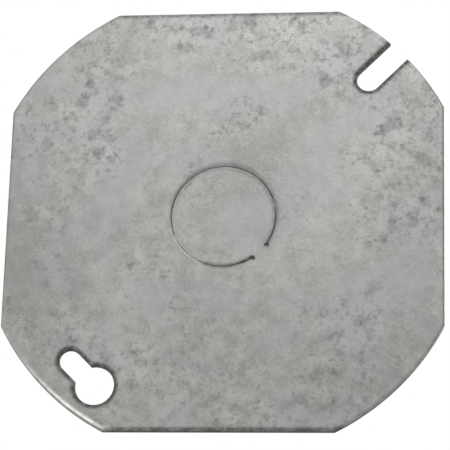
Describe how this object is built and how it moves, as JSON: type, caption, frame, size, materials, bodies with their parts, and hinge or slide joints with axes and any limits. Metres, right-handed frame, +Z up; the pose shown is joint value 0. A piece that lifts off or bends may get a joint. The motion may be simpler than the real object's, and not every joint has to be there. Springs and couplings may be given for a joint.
{
  "type": "octagon electrical box cover",
  "caption": "Flat galvanised steel cover for an octagon electrical box, with a keyhole, an open screw slot and a centre knockout that bends open on a tie.",
  "frame": {"origin": "the cover's centre, in the middle of the sheet's thickness", "axes": "+Y is the way the seating face looks, into the box; -Y looks into the room; +Z is up, with the open slot at the upper right and the keyhole at the lower left as the room sees them"},
  "size_m": [0.093, 0.0016, 0.093],
  "materials": {
    "cover_sheet": "matt galvanised, mottled",
    "knockout_disc": "matt galvanised, mottled",
    "tie_metal": "matt galvanised, mottled"
  },
  "bodies": {
    "cover": {"cover_plate": "cover_sheet", "knockout_tie": "tie_metal"},
    "knockout": {"knockout_slug": "knockout_disc"}
  },
  "joints": [
    {"name": "knockout_bend", "type": "hinge", "parent": "cover", "child": "knockout", "pos_m": [0.00786, 0.0008, -0.00786], "axis": [-0.7071, 0, -0.7071], "range_deg": [0, 90]}
  ]
}
